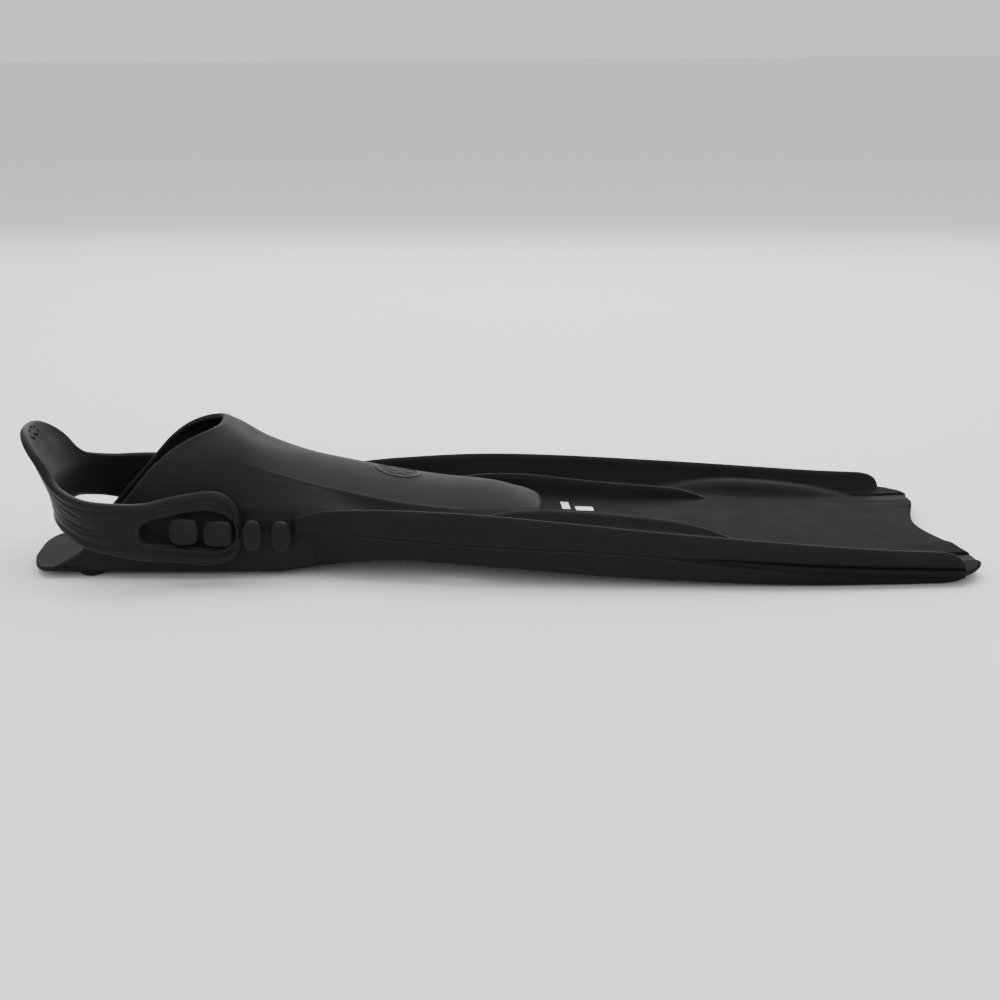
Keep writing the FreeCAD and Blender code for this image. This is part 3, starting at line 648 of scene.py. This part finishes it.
def make_inserts():
    """The soft strip in each channel, with the lens-shaped web that rises against the rail's inner face."""
    lens = [(440, 0), (456, 3.2), (478, 6.8), (500, 8.8), (530, 8.6), (560, 6.2), (582, 2.8), (598, 0)]
    for side, sign in SIDES:
        rings = []
        for at in steps(338, blade_edge(72) - 1.2, 96):
            inner, outer = groove_inner(at) + 0.5, groove_outer(at) - 0.4
            base = value_at(BLADE_MID, at) + 1.8 - 2.3 * smooth(334, 400, at)
            high = value_at(lens, at)
            wide = outer - inner
            reach = outer + (value_at(RAIL_HALF, at) - 4.0 - outer) * smooth(0, 2.2, high)
            rise = [(inner, base - 0.2), (inner + 0.6, base + 0.5), (inner + 2.2, base + 0.8),
                    (inner + wide * 0.45, base + 0.9 + high * 0.12),
                    (inner + wide * 0.62, base + 1.0 + high * 0.50),
                    (inner + wide * 0.86, base + 1.1 + high * 0.92),
                    (outer * 0.7 + reach * 0.3, base + 1.0 + high), (reach, base + 0.8 + high * 0.94)]
            under = [(reach, base + 0.2), ((outer + reach) / 2, base - 0.1),
                     (inner + wide * 0.82, base - 0.4), (inner + wide * 0.62, base - 0.5),
                     (inner + wide * 0.45, base - 0.5), (inner + 2.2, base - 0.5),
                     (inner + 0.6, base - 0.5), (inner, base - 0.4)]
            rings.append([place(at, sign * y, z) for y, z in rise + under])
        verts, faces = loft(rings)
        finish_mesh(f"channel_web_{side}", verts, faces, "insert_rubber",
                    [f"channel_insert_{side}"])


def make_ribs():
    """Toe ribs: a sharp crest, a steep inner face and a slope that runs out into the valley by the rail."""
    for side, sign in SIDES:
        rings = []
        for s in steps(292, 480.5, 72):
            crest, top = value_at(RIB_HALF, s), value_at(RIB_TOP, s)
            foot = value_at(BLADE_MID, s) + 1.2
            high = max(0.4, top - foot)
            wide = 3.0 + 9.0 * min(1.0, high / 14.0)
            inner_foot = crest - 0.30 * wide
            outer_foot = crest + wide
            ring = [(inner_foot - 0.4, foot - 0.6), (inner_foot, foot + 0.3),
                    (inner_foot + (crest - 1.1 - inner_foot) * 0.35, foot + high * 0.3),
                    (inner_foot + (crest - 1.1 - inner_foot) * 0.7, foot + high * 0.65),
                    (crest - 1.1, foot + high * 0.9), (crest - 0.5, foot + high * 0.975), (crest + 0.1, top),
                    (crest + 0.8, foot + high * 0.97), (crest + wide * 0.2, foot + high * 0.82),
                    (crest + wide * 0.42, foot + high * 0.5), (crest + wide * 0.7, foot + high * 0.2),
                    (outer_foot, foot + 0.3), (outer_foot + 0.3, foot - 0.6), (crest, foot - 0.6)]
            rings.append([place(s, sign * y, z) for y, z in ring])
        verts, faces = loft(rings)
        finish_mesh(f"toe_rib_{side}_skin", verts, faces, "rib_rubber", [f"toe_rib_{side}"])


# --- pegs --------------------------------------------------

REAR_PEG = {"wide": 9.6, "tall": 8.9, "power": 3.6, "ramp": 2.3}
FRONT_PEG = {"wide": 6.7, "tall": 10.4, "power": 2.5, "ramp": 0.0}
PEGS = [(110, 38.0, REAR_PEG), (132, 36.2, REAR_PEG), (154.5, 34.4, FRONT_PEG), (173, 33.4, FRONT_PEG)]
HEAD_IN, HEAD_OUT = 66.3, 71.4    # half widths between which the pegs' heads stand
PEG_PROFILE = [(0.50, 54.5), (0.50, 64.8), (0.56, 66.0), (0.86, HEAD_IN), (0.97, HEAD_IN + 0.5),
               (1.0, HEAD_IN + 1.4), (0.995, HEAD_IN + 2.5), (0.95, HEAD_IN + 3.8), (0.86, HEAD_IN + 4.7),
               (0.78, HEAD_OUT - 0.15), (0.70, HEAD_OUT), (0.40, HEAD_OUT + 0.1), (0.02, HEAD_OUT + 0.15)]


def superellipse(angle, wide, tall, power):
    """A point of a rounded rectangle: the higher the power, the squarer its corners."""
    c, d = math.cos(angle), math.sin(angle)
    return wide * math.copysign(abs(c) ** (2 / power), c), tall * math.copysign(abs(d) ** (2 / power), d)


def ramp_down(shape, ds, y):
    """How far a head's face is let down towards the heel, so that the strap slides over it."""
    return shape["ramp"] * smooth(2.0, -8.6, ds) * max(0.0, y - HEAD_IN - 1.0) / 4.1


def make_pegs():
    """Rear pegs are blocky hooks that ramp up from the heel; front pegs are chamfered ovals."""
    around = 48
    for side, sign in SIDES:
        for number, (station, height, shape) in enumerate(PEGS, start=1):
            verts = []
            for scale, y in PEG_PROFILE:
                power = shape["power"] if scale > 0.6 else 2.0
                for a in turns(around):
                    ds, dz = superellipse(a, shape["wide"] * scale, shape["tall"] * scale, power)
                    verts.append(place(station + ds, sign * (y - ramp_down(shape, ds, y)), height + dz))
            last = (len(PEG_PROFILE) - 1) * around
            faces = grid_faces(len(PEG_PROFILE), around, close_columns=True)
            faces += [tuple(range(around)), tuple(range(last, last + around))]
            add_part(verts, faces, *peg_seam(station, height, shape, sign))
            finish_mesh(f"peg_{side}_{number}", verts, faces, "peg_plastic",
                        [f"strap_peg_{side}_{number}"])


def peg_seam(station, height, shape, sign):
    """The mould's parting line: a thin raised bead across a head at mid height."""
    half = [(shape["wide"] * scale, y) for scale, y in PEG_PROFILE if y >= HEAD_IN]
    path = [(-ds, y) for ds, y in half] + list(reversed(half[:-1]))
    rings = []
    for i, (ds, y) in enumerate(path):
        a, b = path[max(i - 1, 0)], path[min(i + 1, len(path) - 1)]
        tangent = Vector((b[0] - a[0], b[1] - a[1])).normalized()
        out = Vector((-tangent.y, tangent.x))
        ring = []
        for angle in turns(6):
            shift = out * 0.24 * math.cos(angle)
            ring.append(place(station + ds + shift.x, sign * (y - ramp_down(shape, ds, y) + shift.y),
                              height + 0.3 * math.sin(angle)))
        rings.append(ring)
    return loft(rings)


# --- badge -------------------------------------------------

def on_instep(s, y):
    """Height of the instep at a station and half width."""
    low, high = 0.0, CREASE
    for _ in range(20):
        middle = (low + high) / 2
        if pocket_point(s, middle)[0] < abs(y):
            low = middle
        else:
            high = middle
    return pocket_point(s, low)[1]


def make_badge():
    """An oval badge let into the instep: a raised ring, a sunk field and three plain waves."""
    verts, faces = [], []
    centre, long, broad, around = 250.0, 16.2, 12.2, 72
    profile = [(1.0, -1.0), (1.0, 0.25), (0.97, 0.55), (0.92, 0.6), (0.88, 0.45), (0.86, -0.35),
               (0.6, -0.4), (0.3, -0.4), (0.01, -0.4)]
    for scale, rise in profile:
        for a in turns(around):
            s, y = centre + long * scale * math.cos(a), broad * scale * math.sin(a)
            verts.append(place(s, y, on_instep(s, y) + rise))
    faces += grid_faces(len(profile), around, close_columns=True)
    faces.append(tuple(range(around)))
    faces.append(tuple(range((len(profile) - 1) * around, len(profile) * around)))
    for row in (-5.2, 0.0, 5.2):
        rings = []
        span = 10.4 if row == 0 else 8.2
        for t in steps(-span, span, 41):
            y = row + 1.3 * math.sin(t * 0.62)
            width = 1.15 * (1 - (abs(t) / span) ** 4) + 0.05
            z = on_instep(centre + t, y)
            section = ((-width, -0.5), (-width * 0.8, 0.15), (0, 0.35), (width * 0.8, 0.15), (width, -0.5),
                       (0, -0.6))
            rings.append([place(centre + t, y + d, z + h) for d, h in section])
        add_part(verts, faces, *loft(rings))
    finish_mesh("badge", verts, faces, "badge_plastic", ["instep_badge"])


def make_print():
    """Plain white printed bars on the blade near the toe, a hair thicker than ink."""
    verts, faces = [], []
    for s0, s1, y0, y1 in ((366, 371.5, 1.5, 18.5), (375.5, 388, -0.5, 8.5)):
        start = len(verts)
        for lift in (-0.3, 0.12):
            for s in (s0, s1):
                for y in (y0, y1):
                    verts.append(place(s, y, blade_top(s, y) + lift))
        box = ((0, 1, 3, 2), (4, 5, 7, 6), (0, 1, 5, 4), (2, 3, 7, 6), (0, 2, 6, 4), (1, 3, 7, 5))
        faces += [tuple(start + i for i in quad) for quad in box]
    bars = finish_mesh("print_bars", verts, faces, "print_ink")
    for polygon in bars.data.polygons:
        polygon.use_smooth = False


# --- heel strap --------------------------------------------

STRAP_THICK = 5.5
EDGE_RADIUS = 2.5
STRAP_REAR = [(6, 18), (24, 15.4), (42, 14.6), (55, 12.2), (64, 8.6), (75, 4), (82, 0.5), (91, -3.3),
              (100, -6.5)]
STRAP_WIDEST, STRAP_HALF = 80.0, 70.6
STRAP_POWER = 2.4
STRAP_ARM = [(80, 70.6), (87, 69.9), (94, 67.6), (101, 65.9), (110, 65.0), (122, 64.6), (150, 64.2)]
JOIN = 58.0
JOIN_TOP, JOIN_FOOT = 58.2, 23.4
GROOVE_AT_JOIN = 0.3557    # height of the lowest groove where band and loop meet, as a share
TAB_TOP = [(0, 95.6), (12, 95.0), (22, 92.6), (30, 88.4), (36, 83.2), (40, 76.8), (43, 70.2),
           (48, 64.6), (54, 61.8), (60, 59.8), (65, 58.6), (70, 58.2)]
BAND_FOOT = [(0, 37), (20, 36.8), (31, 36.2), (39, 34.8), (50, 31.7), (56, 29.6), (60, 27.6),
             (63, 25.8), (66, 24.4), (69, 23.4)]
LOOP_EDGE = [(58, 58.2), (66, 57.9), (76, 57.6), (88, 58), (100, 60.2), (112, 62.2), (123, 63.6), (132, 63.2),
             (140, 59.0), (145.6, 51), (147.6, 42), (148.0, 33), (146.2, 24), (141.2, 17.0), (132, 13.2),
             (120, 12.8), (106, 15.1), (92, 17.0), (78, 19.4), (66, 21.8), (58, 23.4)]
WINDOW = [(82.4, 37.6), (83.2, 41.4), (86.6, 44.2), (93, 45.6), (104, 47.0), (116, 49.0), (126, 49.4),
          (134, 47.2), (139.4, 42.6), (141.2, 35.8), (139.6, 29.4), (134.4, 25.6), (125, 24.6),
          (113, 26.0), (101, 28.0), (92, 29.6), (86.4, 31.0), (83.2, 33.6)]
WINDOW_AXIS = ((91.0, 37.8), (130.5, 36.6))


def strap_half(s, z):
    """Half width of the strap's outer face: round the heel as a squarish oval, then in along the arms."""
    if s >= STRAP_WIDEST:
        return value_at(STRAP_ARM, s)
    reach = STRAP_WIDEST - value_at(STRAP_REAR, z)
    share = min(1.0, (STRAP_WIDEST - s) / reach)
    return STRAP_HALF * (1 - share ** STRAP_POWER) ** (1 / STRAP_POWER)


def band_point(t, z):
    """The band's outer face at a height: t is 0 at the rear and -1 or 1 where the loops begin."""
    reach = STRAP_WIDEST - value_at(STRAP_REAR, z)
    last = math.acos(((STRAP_WIDEST - JOIN) / reach) ** (STRAP_POWER / 2))
    a = abs(t) * last
    half = STRAP_HALF * math.sin(a) ** (2 / STRAP_POWER)
    return Vector((STRAP_WIDEST - reach * math.cos(a) ** (2 / STRAP_POWER), math.copysign(half, t), z))


def band_heights(t):
    """Heights of the band's lower and upper edges, which meet the loop's edges at the ends."""
    y = abs(band_point(t, 40.0).y)
    blend = smooth(0.9, 1.0, abs(t))
    top = value_at(TAB_TOP, y) * (1 - blend) + JOIN_TOP * blend
    foot = value_at(BAND_FOOT, y) * (1 - blend) + JOIN_FOOT * blend
    return foot, top


def edge_round(distance):
    """Share of the full half thickness at a distance from an edge, for a rounded edge."""
    t = min(1.0, max(0.0, distance / EDGE_RADIUS))
    return math.sqrt(max(0.0, 1 - (1 - t) ** 2))


def edge_relief(edge, window=99.0):
    """Raised beads along the strap's edge and the window's edge, each with a groove beside it."""
    beads = 0.5 * bump(edge - 2.6, 2.7) + 0.5 * bump(window - 2.3, 2.5)
    grooves = 0.75 * bump(edge - 6.0, 1.1) + 0.7 * bump(window - 5.2, 1.0)
    return beads - grooves


def band_grooves(t, w, tall):
    """Lengthwise grooves and a long hollow that run from the heel and close up towards the loops."""
    a = abs(t)
    depth = 0.0
    for w0, w1, start, end, size in ((0.70, 0.64, 0.30, 0.84, 0.6), (0.55, 0.53, 0.34, 0.80, 0.55),
                                     (0.33, 0.36, 0.28, 1.12, 0.6)):
        line = w0 + (w1 - w0) * (a - start) / (end - start)
        ends = smooth(start, start + 0.12, a) * (1 - smooth(end - 0.10, end, a))
        depth += size * ends * bump((w - line) * tall, 1.2)
    hollow = smooth(0.50, 0.66, a) * (1 - smooth(0.90, 0.99, a))
    depth += 0.9 * hollow * bump((w - 0.45) * tall, 2.6)
    return depth


def surface_normal(point, ahead, beside, outward):
    """The normal of the surface through three near points, on the outward side."""
    normal = (ahead - point).cross(beside - point).normalized()
    return normal if normal.dot(outward) > 0 else -normal


def band_vertices():
    """Outer and inner faces of the band, row after row from its foot to its top."""
    near_edge = [0, 0.25, 0.7, 1.3, 2.0, 2.8]
    columns = [math.copysign(abs(x) ** 1.15, x) for x in steps(-1, 1, 141)]
    rows = 43
    outer, inner = [], []
    for i in range(rows):
        for t in columns:
            foot, top = band_heights(t)
            tall = top - foot
            if i < len(near_edge):
                w = near_edge[i] / tall
            elif i >= rows - len(near_edge):
                w = 1 - near_edge[rows - 1 - i] / tall
            else:
                first = near_edge[-1] / tall
                w = first + (1 - 2 * first) * (i - len(near_edge) + 1) / (rows - 2 * len(near_edge) + 1)
            z = foot + tall * w
            point = band_point(t, z)
            step = 0.004 if t < 0.99 else -0.004
            normal = surface_normal(point, band_point(t + step, z), band_point(t, z + 0.3),
                                    Vector((point.x - STRAP_WIDEST, point.y * 2, 0)))
            edge = min(w, 1 - w) * tall
            fullness = edge_round(edge)
            half_thick = fullness * STRAP_THICK / 2
            relief = edge_relief(edge) * smooth(0.12, 0.34, abs(t)) - band_grooves(t, w, tall)
            middle = point - normal * STRAP_THICK / 2
            thumb = 1.3 * bump(t, 0.16) * smooth(58, 72, z) * (1 - smooth(80, 90, z))
            outer.append(middle + normal * (half_thick + relief * fullness))
            inner.append(middle - normal * (half_thick - thumb * fullness))
    return rows, len(columns), outer, inner


def curve_samples(points, count, closed=False):
    """Evenly spaced points along a smooth curve through (station, height) points."""
    dense = []
    total = len(points) if closed else len(points) - 1
    for i in range(total):
        p = [Vector(points[(i + k) % len(points)] if closed else points[min(max(i + k, 0), len(points) - 1)])
             for k in (-1, 0, 1, 2)]
        for k in range(16):
            t = k / 16
            square = 2 * p[0] - 5 * p[1] + 4 * p[2] - p[3]
            cube = 3 * p[1] - p[0] - 3 * p[2] + p[3]
            dense.append(0.5 * (2 * p[1] + (p[2] - p[0]) * t + square * t ** 2 + cube * t ** 3))
    dense.append(dense[0].copy() if closed else Vector(points[-1]))
    lengths = [0.0]
    for a, b in zip(dense, dense[1:]):
        lengths.append(lengths[-1] + (b - a).length)
    made, k = [], 0
    for i in range(count):
        target = lengths[-1] * i / (count if closed else count - 1)
        while k < len(lengths) - 2 and lengths[k + 1] < target:
            k += 1
        share = (target - lengths[k]) / max(1e-9, lengths[k + 1] - lengths[k])
        made.append(dense[k].lerp(dense[k + 1], min(1.0, share)))
    return made


def distance_to(point, line):
    """Distance from a point to a polyline."""
    best = 1e9
    for a, b in zip(line, line[1:]):
        d = b - a
        t = min(1.0, max(0.0, (point - a).dot(d) / max(1e-9, d.dot(d))))
        best = min(best, (point - a - d * t).length)
    return best


def window_hit(centre, point, line):
    """Where the way from the window's axis to a point crosses the window's edge."""
    way = point - centre
    best = None
    for a, b in zip(line, line[1:]):
        d = b - a
        cross = way.x * d.y - way.y * d.x
        if abs(cross) < 1e-9:
            continue
        t = ((a.x - centre.x) * d.y - (a.y - centre.y) * d.x) / cross
        u = ((a.x - centre.x) * way.y - (a.y - centre.y) * way.x) / cross
        if t > 0 and -1e-6 <= u <= 1 + 1e-6 and (best is None or t < best):
            best = t
    return centre + way * best


def loop_vertices(join_outer, join_inner, sign):
    """Rings from the window's edge to the loop's edge and the band. Join lists run from foot to top."""
    edge_line = curve_samples(LOOP_EDGE, 84)
    window_line = curve_samples(WINDOW, 120, closed=True)
    window_line.append(window_line[0].copy())
    rim = [(q, None) for q in edge_line]
    rim += [(Vector((p.x, p.z)), i) for i, p in enumerate(join_outer)][1:-1]
    start, end = Vector(WINDOW_AXIS[0]), Vector(WINDOW_AXIS[1])
    axis = end - start
    band_line = [Vector((30, JOIN_TOP))] + edge_line + [Vector((30, JOIN_FOOT))]
    rings = 27
    outer, inner = [], []
    for k in range(rings):
        f = k / (rings - 1)
        rho = f - 0.11 * math.sin(2 * math.pi * f)
        for q, join in rim:
            if k == rings - 1 and join is not None:
                outer.append(join_outer[join])
                inner.append(join_inner[join])
                continue
            along = min(1.0, max(0.0, (q - start).dot(axis) / axis.dot(axis)))
            hit = window_hit(start + axis * along, q, window_line)
            p = hit.lerp(q, rho)
            to_edge = 0.0 if k == rings - 1 else distance_to(p, band_line)
            to_window = 0.0 if k == 0 else distance_to(p, window_line)

            def at(s, z):
                return Vector((s, sign * strap_half(s, z), z))

            point = at(p.x, p.y)
            normal = surface_normal(point, at(p.x + 0.3, p.y), at(p.x, p.y + 0.3), Vector((0, sign, 0)))
            fullness = edge_round(min(to_edge, to_window))
            half_thick = fullness * STRAP_THICK / 2
            relief = edge_relief(to_edge, to_window) * fullness
            groove_z = JOIN_FOOT + GROOVE_AT_JOIN * (JOIN_TOP - JOIN_FOOT)
            groove = 0.6 * (1 - smooth(JOIN + 8, JOIN + 22, p.x)) * bump(p.y - groove_z, 1.2)
            middle = point - normal * STRAP_THICK / 2
            outer.append(middle + normal * (half_thick + relief - groove))
            inner.append(middle - normal * half_thick)
    return rings, len(rim), outer, inner


def grip_dots():
    """Round grip dots on the inner face of the pull tab."""
    verts, faces = [], []
    around = 14
    dome = ((1.35, -0.3), (1.3, 0.25), (1.0, 0.62), (0.55, 0.82), (0.05, 0.88))
    for y, z in ((-10, 88), (-6, 91.6), (0, 92.8), (6, 91.6), (10, 88), (-5, 86), (0.2, 87.6), (5, 86)):
        reach = STRAP_WIDEST - value_at(STRAP_REAR, z)
        share = (abs(y) / STRAP_HALF) ** STRAP_POWER
        point = Vector((STRAP_WIDEST - reach * (1 - share) ** (1 / STRAP_POWER), y, z))
        upward = Vector((value_at(STRAP_REAR, z + 1) - value_at(STRAP_REAR, z), 0, 1))
        normal = surface_normal(point, point + Vector((0, 1, 0)), point + upward, Vector((1, 0, 0)))
        base = point + normal * (STRAP_THICK - 0.25)
        side = normal.cross(Vector((0, 1, 0))).normalized()
        across = normal.cross(side).normalized()
        start = len(verts)
        for radius, rise in dome:
            for a in turns(around):
                out = side * math.cos(a) + across * math.sin(a)
                verts.append(place(*(base + out * radius + normal * rise)))
        faces += grid_faces(len(dome), around, close_columns=True, start=start)
        faces.append(tuple(range(start, start + around)))
        faces.append(tuple(range(len(verts) - around, len(verts))))
    return verts, faces


def make_strap():
    """The strap in one skin: the band round the heel, a loop on each side, and the tab's grip dots."""
    rows, width, outer, inner = band_vertices()
    verts = [place(*p) for p in outer + inner]
    faces = grid_faces(rows, width) + grid_faces(rows, width, start=rows * width)
    for column, sign in ((0, -1), (width - 1, 1)):
        join_outer = [outer[i * width + column] for i in range(rows)]
        join_inner = [inner[i * width + column] for i in range(rows)]
        rings, around, loop_outer, loop_inner = loop_vertices(join_outer, join_inner, sign)
        for points in (loop_outer, loop_inner):
            start = len(verts)
            verts += [place(*p) for p in points]
            faces += grid_faces(rings, around, close_columns=True, start=start)
    add_part(verts, faces, *grip_dots())
    finish_mesh("heel_strap_rubber", verts, faces, "strap_rubber", ["heel_strap"], body="strap")


# --- stage -------------------------------------------------

def make_floor():
    """A plain pale floor, half a millimetre below the fin."""
    made = bpy.data.materials.new("floor")
    made.use_nodes = True
    shader = made.node_tree.nodes["Principled BSDF"]
    shader.inputs["Base Color"].default_value = (0.86, 0.86, 0.86, 1)
    shader.inputs["Roughness"].default_value = 0.9
    shader.inputs["Specular IOR Level"].default_value = 0.1
    mesh = bpy.data.meshes.new("floor")
    reach = 40.0
    mesh.from_pydata([(-reach, -reach, 0), (reach, -reach, 0), (reach, reach, 0), (-reach, reach, 0)], [],
                     [(0, 1, 2, 3)])
    floor = bpy.data.objects.new("floor", mesh)
    floor.data.materials.append(made)
    bpy.context.collection.objects.link(floor)
    floor.location.z = -0.0005


def add_light(name, position, target, size, power, colour):
    """A soft rectangular light at a position, turned to its target."""
    light = bpy.data.lights.new(name, "AREA")
    light.shape = "RECTANGLE"
    light.size, light.size_y = size
    light.energy = power
    light.color = colour
    made = bpy.data.objects.new(name, light)
    bpy.context.collection.objects.link(made)
    made.location = position
    made.rotation_euler = (Vector(target) - Vector(position)).to_track_quat("-Z", "Y").to_euler()


def make_lights():
    """An even pale surround and three large soft lights."""
    world = bpy.data.worlds.new("studio")
    bpy.context.scene.world = world
    world.use_nodes = True
    background = world.node_tree.nodes["Background"]
    background.inputs["Color"].default_value = (1, 1, 1, 1)
    background.inputs["Strength"].default_value = 0.9
    add_light("top_soft", (0.1, 0.3, 1.6), (0, 0, 0), (2.4, 1.4), 34, (1, 0.985, 0.96))
    add_light("back_soft", (0.2, 1.6, 0.9), (0, 0, 0.05), (2.4, 1.0), 20, (1, 0.99, 0.97))
    add_light("front_soft", (-0.2, -1.7, 0.7), (0, 0, 0.03), (1.8, 0.8), 7, (0.93, 0.96, 1))


def make_camera():
    """A camera a little above the fin and turned a little towards its toe."""
    yaw, pitch, roll = math.radians(3.2), math.radians(16.3), math.radians(-0.4)
    target = place(321.5, 0, 34.9)
    distance = 1.096
    level = math.cos(pitch)
    forward = Vector((math.sin(yaw) * level, math.cos(yaw) * level, -math.sin(pitch)))
    right = Vector((math.cos(yaw), -math.sin(yaw), 0))
    up = right.cross(forward)
    turned_right = right * math.cos(roll) + up * math.sin(roll)
    turned_up = up * math.cos(roll) - right * math.sin(roll)
    data = bpy.data.cameras.new("camera")
    data.sensor_width = 36.0
    data.lens = 56.0
    camera = bpy.data.objects.new("camera", data)
    bpy.context.collection.objects.link(camera)
    turn = Matrix((turned_right, turned_up, -forward)).transposed().to_4x4()
    camera.matrix_world = Matrix.Translation(target - forward * distance) @ turn
    bpy.context.scene.camera = camera


for make in (make_camera, make_lights, make_floor, make_pocket, make_sole, make_heel_pads, make_rails,
             make_blade, make_inserts, make_ribs, make_pegs, make_badge, make_print, make_strap):
    make()
